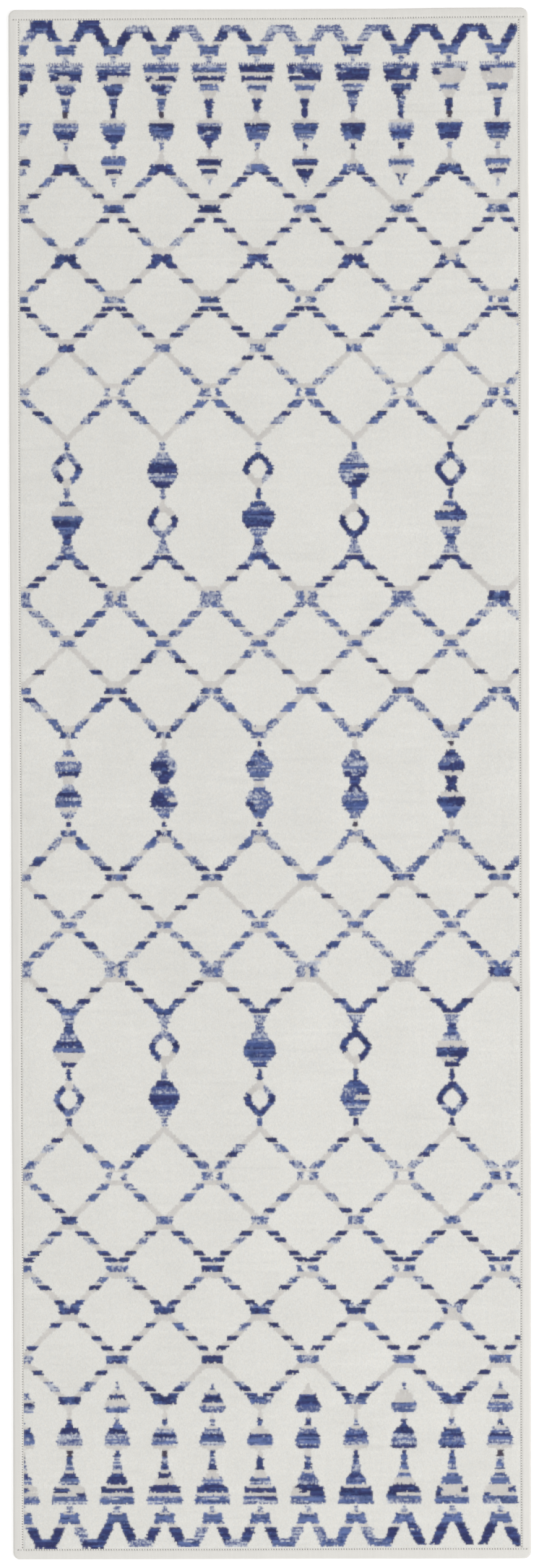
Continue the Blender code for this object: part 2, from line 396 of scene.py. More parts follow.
def trellis(half, rng, top, legs, nodes):
    """A band of diamonds: rows of legs between nodes that fall by turns on even and on odd columns."""
    for row, dashes in enumerate(legs):
        first = -6 + row % 2
        for column in range(first, 8, 2):
            pairs = [int(rng.integers(len(choice))) for *_, choice in dashes]
            for side in (-1, 1):
                leg(half, rng, column, top - row * NODE_STEP, side, dashes, pairs)
    for row, (high, low, reach, plans) in enumerate(nodes):
        for column, plan in zip(range(-6 + row % 2, 8, 2), plans.split()):
            if row:
                stripe(half, rng, column, high + 3.4, high, 5.6, reach - 1.2, "g")
            stripe(half, rng, column, high, low, reach * 0.92, reach * 1.04, redyed(plan, rng))


def ring(half, rng, column, middle_pick, plan):
    """A ring bead: the knots between two rounded diamonds, its yarn set by the angle about its middle."""
    picks = np.arange(round(middle_pick - RING_REACH[1]), round(middle_pick + RING_REACH[1]) + 1)
    x = np.arange(KNOTS)[None, :] + 0.5 - column_middle(column, picks)[:, None]
    y = (picks + 0.5 - middle_pick)[:, None] * np.ones_like(x)
    ragged = rng.uniform(0.94, 1.06, x.shape)
    outer = np.abs(x / RING_REACH[0]) ** RING_SHAPE + np.abs(y / RING_REACH[1]) ** RING_SHAPE
    hole = np.abs(x / RING_HOLE[0]) ** RING_SHAPE + np.abs(y / RING_HOLE[1]) ** RING_SHAPE
    part = ((np.arctan2(y, x) / (2 * np.pi) * 8 + 0.5) % 8).astype(int)
    letters = np.array([LETTERS.index(letter) for letter in plan])
    wall = (outer * ragged < 1) & (hole * ragged > 1)
    rows = half[picks]
    rows[wall] = letters[part][wall]
    half[picks] = rows


def bead_string(half, rng):
    """The beads between two bands of trellis: a ring and a barrel on each even column, on knotted stems."""
    for column in SOLID_PLANS:
        stripe(half, rng, column, 212.0, 144.0, 1.7, 1.7, "g")
        stripe(half, rng, column, 208.6, 204.0, 2.2, 2.0, str(rng.choice(["h", "n", "d", "b"])))
        stripe(half, rng, column, 181.0, 174.4, 2.2, 1.8, str(rng.choice(["h", "n", "d", "b"])))
        stripe(half, rng, column, 150.0, 144.6, 3.0, 2.4, str(rng.choice(["h", "n", "h"])))
        stripe(half, rng, column, 146.0, 140.6, 1.6, 7.0, "h")
        shape, plan = SOLID_PLANS[column]
        motif(half, rng, column, shape, redyed(plan, rng))
        middle_pick, sectors = RING_PLANS[column]
        stripe(half, rng, column, middle_pick + 5.6, middle_pick - 5.6, 3.0, 3.0, "i")
        ring(half, rng, column, middle_pick, redyed(sectors, rng))


def zigzag(half, rng, facing):
    """The flat-topped zigzag along the end: a peak between two columns and a valley on each column."""
    down = (0.0, 1.6)[facing]
    for number, yarns in enumerate(PEAKS[facing].split()):
        column = number - 4.5
        for side, letter in ((-1, yarns[0]), (1, yarns[2])):
            yarn = letter.lower()
            foot = 450.0 if letter.isupper() else 453.6
            stripe(half, rng, column, 463.0 + down, 456.0, 3.8, 4.2, yarn, 4.6 * side, 0.6 * side)
            stripe(half, rng, column, 456.0, 447.0, 3.4, 3.4, "g", 8.8 * side, 0.9 * side)
            stripe(half, rng, column, 456.0, foot, 4.4, 4.2, yarn, 8.8 * side, 0.9 * side)
        top = 466.6 if yarns[1] == "n" and number < 2 else 464.4
        if yarns[1] == ".":
            continue
        stripe(half, rng, column, top + down, 460.0 + down, 8.4, 8.0, yarns[1])
        stripe(half, rng, column, 461.8 + down, 459.0 + down, 4.4, 4.0, "b" if yarns[1] == "n" else "h")
        stripe(half, rng, column, 459.0 + down, 456.0, 1.8, 4.0, "i")
    for column, letter in zip(range(-5, 6), VALLEYS[facing].split()):
        stripe(half, rng, column, 451.6, 446.2, 8.4, 6.6, letter)
        stripe(half, rng, column, 447.4, 444.6, 7.2, 6.6, f"{letter}...{letter}")
        stripe(half, rng, column, 446.2, 444.4, 4.4, 3.6, "g")
        stripe(half, rng, column, 445.0, 440.6, 2.2, 2.0, "h")
        stripe(half, rng, column, 454.0, 451.0, 3.2, 1.4, "i")


def half_draft(rng, facing):
    """The design from the middle of the rug out to one end: an array of yarn numbers, picks by knots."""
    half = np.zeros((HALF_PICKS, KNOTS), int)
    zigzag(half, rng, facing)
    for column, plans in SPEARHEAD_PLANS.items():
        motif(half, rng, column, SPEARHEAD, plans[facing])
        motif(half, rng, column, CUP, CUP_PLANS[column][facing])
    trellis(half, rng, 378, LONG_LEGS, LONG_NODES)
    for column, plans in ARROWHEAD_PLANS.items():
        motif(half, rng, column, ARROWHEAD, plans[facing])
    for column in range(-4, 6, 2):
        stripe(half, rng, column, 382.0, 379.0, 2.4, 6.4, "g")
    trellis(half, rng, 141, SHORT_LEGS, SHORT_NODES)
    bead_string(half, rng)
    for column, plans in BEAD_PLANS.items():
        stripe(half, rng, column, 29.0, 18.0, 1.6, 1.6, "g")
        stripe(half, rng, column, 26.0, 23.0, 2.0, 1.8, str(rng.choice(["n", "g", "c"])))
        motif(half, rng, column, BEAD, plans[facing])
    return half


def full_draft(rng):
    """Both halves back to back, first pick at the near end: yarn numbers, picks by knots."""
    far = half_draft(rng, 0)
    near = half_draft(rng, 1)
    return np.concatenate([near[::-1], far])


# ---------------------------------------------------------------- dyeing


def linear(colour):
    """8-bit sRGB to the linear values that a shader reads."""
    share = np.asarray(colour, float) / 255
    return np.where(share <= 0.04045, share / 12.92, ((share + 0.055) / 1.055) ** 2.4)


def smooth_noise(rng, shape, cells):
    """Even noise from -1 to 1: random values on a coarse grid, joined by smooth steps both ways."""
    coarse = rng.uniform(-1, 1, (cells[0] + 2, cells[1] + 2))
    at = [np.linspace(0, count, size) for count, size in zip(cells, shape)]
    low = [places.astype(int) for places in at]
    share = [(p - q) ** 2 * (3 - 2 * (p - q)) for p, q in zip(at, low)]
    first, second = share[0][:, None], share[1][None, :]
    row, column = low[0][:, None], low[1][None, :]
    near = coarse[row, column] * (1 - second) + coarse[row, column + 1] * second
    far = coarse[row + 1, column] * (1 - second) + coarse[row + 1, column + 1] * second
    return near * (1 - first) + far * first


def ranked(values):
    """Each value's place in order of size, from 0 to 1, so that a share of them can be picked."""
    return np.argsort(np.argsort(values.ravel())).reshape(values.shape) / values.size


def dyed_yarns(draft, rng):
    """Colour of every knot: its yarn's dye, heathers mixed knot by knot, uneven dyeing, and stray fibres.

    A heather knot is drawn between pale and mid blue, in flecks. Dark yarns let in runs of the next shade
    along each pick. Neighbours then share a little of their colour, because cut fibres lean over each other.
    """
    shades = linear([YARNS[letter] for letter in LETTERS])
    number = {letter: place for place, letter in enumerate(LETTERS)}
    colour = shades[draft]
    rows = smooth_noise(rng, draft.shape, (PICKS, 26))
    knots = rng.random(draft.shape)
    runs = ranked(0.9 * rows + 1.25 * (knots + np.roll(knots, 1, 1) * 0.7) / 1.7)
    flecks = ranked(0.5 * rows + 1.1 * knots)
    pale, blue = linear(HEATHER_PALE), linear(HEATHER_BLUE)
    heather = pale + (blue - pale) * np.clip(flecks * 1.5 - 0.15, 0, 1)[..., None]
    colour = np.where((draft == number["h"])[..., None], heather, colour)
    stipple = (draft == number["s"]) & (np.add.outer(np.arange(PICKS) // 2, np.arange(KNOTS)) % 2 == 0)
    colour[stipple] = shades[number["i"]]
    for letter, other, share, shift in SHADE_RUNS:
        swapped = (draft == number[letter]) & (np.roll(runs, shift, 1) < share)
        colour[swapped] = shades[number[other]]
    dark = np.isin(draft, [number[letter] for letter in "bdn"])
    colour *= 1 + dark[..., None] * (0.55 * (runs - 0.45))[..., None]
    colour = 0.84 * colour + 0.08 * (np.roll(colour, 1, 1) + np.roll(colour, -1, 1))
    colour = 0.92 * colour + 0.04 * (np.roll(colour, 1, 0) + np.roll(colour, -1, 0))
    faded = 1 + 0.05 * smooth_noise(rng, draft.shape, (120, 60))
    colour = np.where((draft == number["g"])[..., None], colour * faded[..., None], colour)
    cloud = 1 + 0.012 * smooth_noise(rng, draft.shape, (36, 12))
    cloud = cloud + 0.010 * smooth_noise(rng, draft.shape, (9, 3))
    weft_lines = 1 + 0.04 * smooth_noise(rng, draft.shape, (PICKS // 2, 14)) ** 3
    warp_lines = 1 + 0.016 * smooth_noise(rng, draft.shape, (40, KNOTS // 2)) ** 3
    speckle = 1 + rng.normal(0, 0.013, draft.shape)
    colour = colour * (cloud * weft_lines * warp_lines * speckle)[..., None]
    warmth = rng.normal(0, 0.006, draft.shape)[..., None] * np.array([1.0, 0.2, -1.0])
    return np.clip(colour * (1 + warmth), 0, 1)


# ---------------------------------------------------------------- meshes


def lie(points):
    """Lays the rug down: its sides and far end wander by one to three millimetres, with all sewn to them.

    Each edge's curve is a sum of sines, with a shallow hollow in the right side and a step in the far end.
    The move grows from nothing at the middle of the rug to its whole at the edge.
    """
    x, y = points[..., 0], points[..., 1]
    side = x / HALF_WIDTH
    left = -0.0010 * np.sin(1.6 * y) + 0.0002 * np.sin(9.0 * y + 1.0)
    hollow = 0.0009 * np.exp(-((y - 0.38) / 0.2) ** 2)
    right = 0.0024 - 0.0005 * np.cos(7.1 * y) + 0.0003 * np.sin(3.2 * y) - hollow
    far = 0.00025 + 0.0008 * np.tanh((x - 0.165) / 0.05)
    moved = np.array(points, float)
    moved[..., 0] += np.where(side > 0, right, left) * np.abs(side) ** 1.5
    moved[..., 1] += far * np.clip(y / HALF_LENGTH, 0, 1) ** 6
    return moved


def show(name, data):
    """An object of this name in the scene, at the origin."""
    shown = bpy.data.objects.new(name, data)
    bpy.context.scene.collection.objects.link(shown)
    return shown


def add_mesh(name, points, faces, material, smooth=True):
    """A mesh object at the origin from an array of points and an array or list of faces."""
    mesh = bpy.data.meshes.new(name)
    mesh.from_pydata(lie(points).tolist(), [], faces.tolist() if hasattr(faces, "tolist") else faces)
    mesh.validate()
    mesh.materials.append(material)
    if smooth:
        mesh.shade_smooth()
    return show(name, mesh)


def fast_mesh(name, points, corners, sizes, material):
    """The same for very many faces: corners lists every face's points in turn, and sizes their counts."""
    mesh = bpy.data.meshes.new(name)
    mesh.vertices.add(len(points))
    mesh.vertices.foreach_set("co", lie(points).astype(np.float32).ravel())
    mesh.loops.add(len(corners))
    mesh.loops.foreach_set("vertex_index", corners.astype(np.int32))
    mesh.polygons.add(len(sizes))
    mesh.polygons.foreach_set("loop_start", (np.cumsum(sizes) - sizes).astype(np.int32))
    mesh.update(calc_edges=True)
    mesh.validate()
    mesh.materials.append(material)
    mesh.shade_smooth()
    return show(name, mesh)


def keep_values(piece, name, kind, domain, values):
    """Keeps a number or a colour for every point or face of the piece, for its material to read."""
    attribute = piece.data.attributes.new(name, kind, domain)
    field = "color" if kind == "FLOAT_COLOR" else "value"
    attribute.data.foreach_set(field, values.astype(np.float32).ravel())


def on_root(piece, nodes=()):
    """Puts the piece on the rug's one body, and hides the solids that it stands for."""
    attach(piece, "root")
    if nodes:
        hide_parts(*nodes)
    return piece


def edge_drop(rows, columns):
    """How much lower the pile lies near the tapes, fading with distance from the field's nearest edge."""
    across = np.minimum(np.arange(columns), np.arange(columns)[::-1])[None, :]
    along = np.minimum(np.arange(rows), np.arange(rows)[::-1])[:, None]
    return EDGE_DROP * np.exp(-np.minimum(across * KNOT, along * PICK) / EDGE_FALL)


def pile_heights(rng):
    """Tip and root height of the pile: tufts of slightly uneven length, lower where the tape begins."""
    level = PILE_TOP - PILE_SETTLE
    tips = level + 0.00009 * rng.standard_normal((PICKS, KNOTS)).clip(-2.2, 2.2)
    tips += 0.00010 * smooth_noise(rng, tips.shape, (60, 20))
    roots = np.full((PICKS + 1, KNOTS + 1), level - TUFT_DEPTH)
    return tips - edge_drop(PICKS, KNOTS), roots - edge_drop(PICKS + 1, KNOTS + 1)


def pile_normals(corners, tips):
    """Normals over the whole pile, so that strips shade as one cloth: sums over tuft faces that meet."""
    a, b, c, d = corners[:-1, :-1], corners[:-1, 1:], corners[1:, 1:], corners[1:, :-1]
    near, right, far, left = (np.cross(q - p, tips - p) for p, q in ((a, b), (b, c), (c, d), (d, a)))
    at_corner = np.zeros_like(corners)
    at_corner[:-1, :-1] += near + left
    at_corner[:-1, 1:] += near + right
    at_corner[1:, 1:] += right + far
    at_corner[1:, :-1] += far + left
    at_tip = near + right + far + left
    return [v / np.linalg.norm(v, axis=-1, keepdims=True) for v in (at_corner, at_tip)]


def fibre_colours(colour, rng):
    """Colours of a tuft's four faces: its own dye, with some of the neighbour's where fibres cross over."""
    padded = np.pad(colour, ((1, 1), (1, 1), (0, 0)), mode="edge")
    near, far = padded[:-2, 1:-1], padded[2:, 1:-1]
    left, right = padded[1:-1, :-2], padded[1:-1, 2:]
    beside = np.stack([near, right, far, left], 2)
    share = 0.72 * rng.random(beside.shape[:3])[..., None]
    faces = colour[:, :, None] * (1 - share) + beside * share
    return faces * rng.normal(1, 0.02, share.shape)


def pile_strip(number, corner_places, tip_places, normals, colour, material):
    """One strip of pile, closed: every knot is a tuft of four faces rising from its corners to its tip.

    The corners lie on the grid of knots and picks and the tips near the middle of each cell, both swayed a
    little. Walls and a bottom of long faces close the strip down to the ground.
    """
    wide = KNOTS // STRIPS
    first = number * wide
    corner_points = corner_places[:, first:first + wide + 1]
    tip_points = tip_places[:, first:first + wide]
    rows, columns = corner_points.shape[:2]
    base = corner_points[:, [0, -1]].copy()
    base[..., 2] = PILE_ROOT
    points = np.concatenate([corner_points.reshape(-1, 3), tip_points.reshape(-1, 3), base.reshape(-1, 3)])
    grid = np.arange(rows * columns).reshape(rows, columns)
    tip = rows * columns + np.arange(PICKS * wide).reshape(PICKS, wide)
    low = rows * columns + PICKS * wide + np.arange(rows * 2).reshape(rows, 2)
    a, b, c, d = grid[:-1, :-1], grid[:-1, 1:], grid[1:, 1:], grid[1:, :-1]
    sides = np.stack([np.stack([p, q, tip], -1) for p, q in ((a, b), (b, c), (c, d), (d, a))], 2)
    left = np.stack([grid[:-1, 0], grid[1:, 0], low[1:, 0], low[:-1, 0]], -1)
    right = np.stack([grid[1:, -1], grid[:-1, -1], low[:-1, 1], low[1:, 1]], -1)
    floor = np.stack([low[:-1, 0], low[1:, 0], low[1:, 1], low[:-1, 1]], -1)
    near = np.concatenate([low[0], grid[0, ::-1]])
    far = np.concatenate([low[-1, ::-1], grid[-1]])
    corners = np.concatenate([sides.ravel(), left.ravel(), right.ravel(), floor.ravel(), near, far])
    walls = np.full(3 * (rows - 1), 4)
    sizes = np.concatenate([np.full(4 * PICKS * wide, 3), walls, [near.size, far.size]])
    piece = fast_mesh(f"pile_strip_{number + 1:02d}", points, corners, sizes, material)
    strip_colour = colour[:, first:first + wide]
    tufts = strip_colour.reshape(-1, 3)
    edges = [strip_colour[:, 0, 3], strip_colour[:, -1, 1], strip_colour[:, wide // 2, 0]]
    ends = np.full((2, 3), linear(YARNS["i"])[0])
    shades = np.concatenate([tufts, *edges, ends])
    opaque = np.column_stack([shades, np.ones(len(shades))])
    keep_values(piece, "yarn_colour", "FLOAT_COLOR", "FACE", opaque)
    bake_map(piece, points, corners, sizes, first * KNOT - FIELD_X, wide)
    at_corners = normals[0][:, first:first + wide + 1].reshape(-1, 3)
    at_tips = normals[1][:, first:first + wide].reshape(-1, 3)
    upright = np.tile([0, 0, 1.0], (low.size, 1))
    piece.data.normals_split_custom_set_from_vertices(np.concatenate([at_corners, at_tips, upright]))
    return piece


def bake_map(piece, points, corners, sizes, left, wide):
    """A flat map of a strip: its top cut into equal lengths, set side by side to fill the square.

    The walls, the bottom and the ends, which are not seen, have narrow columns of their own along one edge.
    """
    layer = piece.data.uv_layers.new(name="OFBake")
    reach = 2 * FIELD_Y / MAP_LENGTHS
    along = points[corners, 1] + FIELD_Y
    whole = np.clip(along / (2 * FIELD_Y), 0, 1)
    across = np.clip((points[corners, 0] - left) / (wide * KNOT), 0, 1)
    height = np.clip((points[corners, 2] - PILE_ROOT) / (PILE_TOP - PILE_ROOT), 0, 1)
    middle = np.repeat(np.add.reduceat(along, np.cumsum(sizes) - sizes) / sizes, sizes)
    part = np.clip((middle / reach).astype(int), 0, MAP_LENGTHS - 1)
    kind = np.repeat(np.repeat(np.arange(6), [4 * PICKS * wide, PICKS, PICKS, PICKS, 1, 1]), sizes)
    hidden = np.maximum(kind - 1, 0)
    hidden_u = np.choose(hidden, [height, height, across, across, across])
    hidden_v = np.choose(hidden, [whole, whole, whole, 0.45 * height, 0.55 + 0.45 * height])
    columns = MAP_WIDTH + 0.01 + 0.02 * np.minimum(kind - 1, 3) + 0.015 * hidden_u
    u = np.where(kind > 0, columns, MAP_WIDTH * (part + 0.03 + 0.94 * across) / MAP_LENGTHS)
    v = np.where(kind > 0, hidden_v, np.clip(along / reach - part, -0.004, 1.004))
    v = MAP_EDGE + (1 - 2 * MAP_EDGE) * v
    layer.data.foreach_set("uv", np.column_stack([u, v]).astype(np.float32).ravel())


def make_pile(material):
    """All strips of the pile, woven to one draft so that tufts meet where two strips join."""
    rng = np.random.default_rng(SEED)
    colour = dyed_yarns(full_draft(rng), rng)
    tips, roots = pile_heights(rng)
    line_x = np.linspace(-FIELD_X, FIELD_X, KNOTS + 1)
    line_y = np.linspace(-FIELD_Y, FIELD_Y, PICKS + 1)
    root_places = np.dstack(np.meshgrid(line_x, line_y))
    sway = rng.uniform(-TUFT_SWAY, TUFT_SWAY, (PICKS - 1, KNOTS - 1, 2))
    root_places[1:-1, 1:-1] += sway
    middles = np.meshgrid((line_x[1:] + line_x[:-1]) / 2, (line_y[1:] + line_y[:-1]) / 2)
    tip_places = np.dstack(middles) + rng.uniform(-TUFT_SWAY, TUFT_SWAY, (PICKS, KNOTS, 2))
    root_places[:, 0, 0] -= EDGE_LAP
    root_places[:, -1, 0] += EDGE_LAP
    root_places[0, :, 1] -= EDGE_LAP
    root_places[-1, :, 1] += EDGE_LAP
    corners = np.dstack([root_places, roots])
    tufts = np.dstack([tip_places, tips])
    normals = pile_normals(corners, tufts)
    fibres = fibre_colours(colour, rng)
    strips = []
    for number in range(STRIPS):
        strip = pile_strip(number, corners, tufts, normals, fibres, material)
        strips.append(on_root(strip, ["pile_field"]))
    return strips


# ---------------------------------------------------------------- bindings and stitching


def wander(number, along):
    """How far a stitch line strays from its true inset: slow curves that differ from edge to edge."""
    return 0.00035 * np.sin(5.1 * along + 2.3 * number) + 0.00022 * np.sin(13.0 * along + 1.1 * number)


EDGES = ("left", "right", "near_end", "far_end")


def stitch_line(number, along):
    """Points of the stitch line of an edge at these distances along it: x and y."""
    if number < 2:
        side = (-1, 1)[number]
        return side * (HALF_WIDTH - STITCH_INSET + wander(number, along)), along
    side = (-1, 1)[number - 2]
    return along, side * (HALF_LENGTH - STITCH_INSET + wander(number, along))


def needle_holes(number):
    """Places of the needle holes of an edge, a stitch apart."""
    reach = HALF_LENGTH - STITCH_INSET - 0.0006 if number < 2 else STITCH_REACH
    count = int(reach / STITCH_PITCH)
    return np.arange(-count, count + 1) * STITCH_PITCH


def sewn_down(points, number, rng):
    """How far the tape is pulled down at each point, and how much painted shade its needle holes get there.

    Two sums over the row of holes: a narrow pit at each hole, and a wider groove along the line that is
    deepest at the holes and lets the tape swell between them. Strength differs from hole to hole.
    """
    holes = needle_holes(number)
    strength = rng.uniform(0.6, 1.0, holes.size + 2)
    gather = rng.uniform(0.3, 1.0, holes.size + 2)
    along = points[..., 1] if number < 2 else points[..., 0]
    off_axis = points[..., 0] if number < 2 else points[..., 1]
    nearest = np.clip(np.round((along - holes[0]) / STITCH_PITCH), 0, holes.size - 1).astype(int)
    at = holes[nearest]
    x, y = stitch_line(number, at)
    off = off_axis - (x if number < 2 else y)
    step = along - at
    on_line = np.clip(1 - (np.abs(step) - STITCH_PITCH / 2) / 0.001, 0, 1)
    pit = strength[nearest] * np.exp(-(step ** 2 / 0.00058 ** 2 + off ** 2 / 0.00062 ** 2)) * on_line
    phase = np.cos(2 * np.pi * step / STITCH_PITCH)
    outward = np.sign(off) * np.sign(off_axis) > 0
    reach = np.where(outward, 0.0036, 0.0012)
    ripple = GATHER * gather[nearest] * phase * np.exp(-np.abs(off) / reach) * on_line
    groove = GROOVE_DEPTH * np.exp(-(off / 0.0013) ** 2) * on_line
    # pit shapes each needle hole's dimple and is also the mask of painted shade inside it
    return HOLE_DEPTH * pit + ripple + groove, pit


def tape_section():
    """The tape's closed section as insets, heights and which points are its top: outer face, then inner."""
    high, low = TAPE_TOP - FOLD_RADIUS, TAPE_BOTTOM + FOLD_RADIUS
    seam_side = [TAPE_LEG, 0.0123, 0.0119, 0.0114, 0.0109, 0.0104]
    flat = np.array([*seam_side, 0.0096, 0.0085, 0.0072, 0.0058, 0.0044, 0.0032])
    turn = np.linspace(np.pi / 2, np.pi, 5)
    upper = (FOLD_RADIUS + FOLD_RADIUS * np.cos(turn), high + FOLD_RADIUS * np.sin(turn))
    lower = (upper[0][::-1], low - FOLD_RADIUS * np.sin(turn[::-1]))
    outer_inset = np.concatenate([flat, upper[0], lower[0], [TAPE_LEG]])
    outer_height = np.concatenate([np.full(flat.size, TAPE_TOP), upper[1], lower[1], [TAPE_BOTTOM]])
    inside = [TAPE_LEG, FOLD_RADIUS, TAPE_THICKNESS]
    inner_inset = np.array([*inside, *inside[::-1]])
    inner_high, inner_low = TAPE_TOP - TAPE_THICKNESS, TAPE_BOTTOM + TAPE_THICKNESS
    inner_height = np.array([inner_high, inner_high, high, low, inner_low, inner_low])
    inset = np.concatenate([outer_inset, inner_inset[::-1]])
    height = np.concatenate([outer_height, inner_height[::-1]])
    top_face = np.concatenate([np.ones(flat.size + 3), np.zeros(inset.size - flat.size - 3)])
    return inset, height, top_face


def stations(number, start, end):
    """Places along an edge at which the tape's section is set: at and beside each hole, and between."""
    holes = needle_holes(number)
    around = (holes[:, None] + np.array([-0.16, 0.0, 0.16, 0.5]) * STITCH_PITCH).ravel()
    inner = around[(around > start + 0.0004) & (around < end - 0.0004)]
    return np.concatenate([[start], inner, [end]])


def along_stitches(number, inset, along):
    """How far the tape is drawn aside with its stitch line: fully near the line, and not at its edges."""
    share = np.clip(np.minimum((inset - 0.0072) / 0.0024, (TAPE_LEG - inset) / 0.0006), 0, 1)
    return share * wander(number, along)


def side_route(number, inset):
    """Straight along a long side: x and y for every station and inset."""
    reach = HALF_LENGTH - TAPE_LEG - 0.00005
    side = (-1, 1)[number]
    along = stations(number, -reach, reach)[:, None] * np.ones(inset.size)
    return side * (HALF_WIDTH - inset[None, :] + along_stitches(number, inset, along)), along


def end_route(number, inset):
    """Round an end of the rug: up the side, round the corner arc, along the end and down the other side."""
    side = (-1, 1)[number - 2]
    radius = np.maximum(CORNER_RADIUS - inset, 0.0)
    centre_x = HALF_WIDTH - inset - radius
    centre_y = HALF_LENGTH - inset - radius
    start = HALF_LENGTH - TAPE_LEG
    rise = np.linspace(0, 1, CORNER_ROWS - ARC_ROWS + 1)[:-1, None]
    up_x = np.ones_like(rise) * (HALF_WIDTH - inset)
    up_y = start + rise * (centre_y - start)
    turn = np.linspace(0, np.pi / 2, ARC_ROWS)[:, None]
    arc_x = centre_x + radius * np.cos(turn)
    arc_y = centre_y + radius * np.sin(turn)
    corner_x, corner_y = np.concatenate([up_x, arc_x]), np.concatenate([up_y, arc_y])
    reach = HALF_WIDTH - TAPE_LEG
    run = stations(number, -reach, reach)[::-1][:, None] * np.ones(inset.size)
    run_y = HALF_LENGTH - inset + along_stitches(number, inset, run)
    x = np.concatenate([corner_x, run, -corner_x[::-1]])
    y = np.concatenate([corner_y, run_y, corner_y[::-1]])
    return (x, y) if side > 0 else (x[::-1], -y[::-1])


def loops_of(across, along):
    """Faces of a closed section carried along a route: quads round the section, and a cap at each end."""
    grid = np.arange(along * across).reshape(along, across)
    turned = np.roll(grid, -1, axis=1)
    quads = np.stack([grid[:-1], turned[:-1], turned[1:], grid[1:]], -1).reshape(-1, 4)
    return quads.tolist() + [grid[0, ::-1].tolist(), grid[-1].tolist()]


def clean(piece):
    """Merges points that fall together at the mitres and turns every face outward."""
    body = bmesh.new()
    body.from_mesh(piece.data)
    bmesh.ops.remove_doubles(body, verts=body.verts, dist=2e-6)
    bmesh.ops.dissolve_degenerate(body, edges=body.edges, dist=1e-6)
    bmesh.ops.recalc_face_normals(body, faces=body.faces)
    body.to_mesh(piece.data)
    body.free()
    piece.data.shade_smooth()
    piece.data.set_sharp_from_angle(angle=1.2)


def make_tape(number, material):
    """A length of binding tape: the folded section carried along its edge, puffed between fold and seam.

    The top swells by a skewed half sine over its width, is drawn down at the stitch line, and takes slow
    unevenness along its length. Painted shade for the needle holes is kept as a value on the points for the
    material.
    """
    rng = np.random.default_rng(SEED + 11 + number)
    inset, height, top_face = tape_section()
    x, y = (side_route if number < 2 else end_route)(number, inset)
    z = np.ones_like(x) * height
    inward = np.minimum(inset, HALF_WIDTH - np.abs(x))
    swell = np.sin(np.pi * np.clip((inward - SWELL_START) / SWELL_WIDTH, 0, 1) ** 2.2)
    drift = smooth_noise(rng, x.shape, (max(x.shape[0] // 60, 2), 3))
    ripple = smooth_noise(rng, x.shape, (max(x.shape[0] // 5, 2), 4))
    if number >= 2:
        for noise in (drift, ripple):
            noise[:CORNER_ROWS] = noise[CORNER_ROWS]
            noise[-CORNER_ROWS:] = noise[-CORNER_ROWS - 1]
    raised = np.clip(inset / 0.004, 0, 1)
    puff = SWELL_HEIGHT * swell * (1 + 0.35 * drift)
    z += top_face * (TAPE_LIFT * raised + puff + RIPPLE_HEIGHT * ripple * raised)
    points = np.dstack([x, y, z])
    # hole gathers the painted shade of the needle holes, from the pit of each row of stitches
    hole = np.zeros_like(x)
    for row in [number] if number < 2 else [number, 0, 1]:
        down, pit = sewn_down(points, row, np.random.default_rng(SEED + 31 + row))
        if row < 2:
            sewn = np.abs(points[..., 1]) < HALF_LENGTH - STITCH_INSET - 0.0004
        else:
            sewn = np.abs(points[..., 0]) < STITCH_REACH + 0.001
        points[..., 2] -= down * top_face * sewn
        hole = np.maximum(hole, np.minimum(1.35 * pit, 1) * top_face * sewn)
    faces = loops_of(inset.size, len(x))
    piece = add_mesh(f"binding_tape_{EDGES[number]}", points.reshape(-1, 3), faces, material)
    # painted shade in the needle holes, for the tape material to darken
    keep_values(piece, "needle_hole_shade", "FLOAT", "POINT", hole)
    clean(piece)
    return on_root(piece, [f"binding_{EDGES[number]}"])


def make_stitches(number, kind, material):
    """A row of lockstitches: each is a short bent thread that dips into the needle hole at both its ends.

    The centre line is an arch over each pitch, and a section of four or five sides is carried along it.
    """
    rng = np.random.default_rng(SEED + 51 + number)
    holes = needle_holes(number)[:-1]
    above = kind == "needle"
    share = np.array([0.17, 0.32, 0.68, 0.83] if above else [0.08, 0.5, 0.92])
    sides = 5 if above else 4
    along = holes[:, None] + share * STITCH_PITCH
    x, y = stitch_line(number, along)
    x, y = x * np.ones_like(along), y * np.ones_like(along)
    bend = (np.abs(share - 0.5) / 0.33) ** 3
    arch = -STITCH_DIP * bend
    size = THREAD_WIDTH / 2 * (1.7 if above else 1.0)
    if above:
        z = TAPE_TOP + TAPE_LIFT - 0.00002 + arch + rng.uniform(-0.00004, 0.00004, along.shape)
    else:
        z = size + 0.00002 - 0.5 * arch * np.ones_like(along)
    lean = rng.uniform(-0.00008, 0.00008, (holes.size, 1)) * np.linspace(-1, 1, share.size)
    turn = np.arange(sides) / sides * 2 * np.pi
    thick = size * (1.05 - 0.35 * bend)[None, :, None]
    side = thick * np.cos(turn) + lean[..., None]
    up = thick * np.sin(turn)
    across_x, across_y = (1, 0) if number < 2 else (0, 1)
    points = np.stack(
        [x[..., None] + across_x * side, y[..., None] + across_y * side, z[..., None] + up], -1
    )
    once = loops_of(sides, share.size)
    offsets = np.arange(holes.size)[:, None, None] * sides * share.size
    quads = (np.array(once[:-2])[None] + offsets).reshape(-1, 4).tolist()
    caps = (np.array(once[-2:])[None] + offsets).reshape(-1, sides).tolist()
    piece = add_mesh(f"{kind}_stitches_{EDGES[number]}", points.reshape(-1, 3), quads + caps, material)
    clean(piece)
    return on_root(piece, [f"{kind}_thread_{EDGES[number]}"])


# ---------------------------------------------------------------- ground


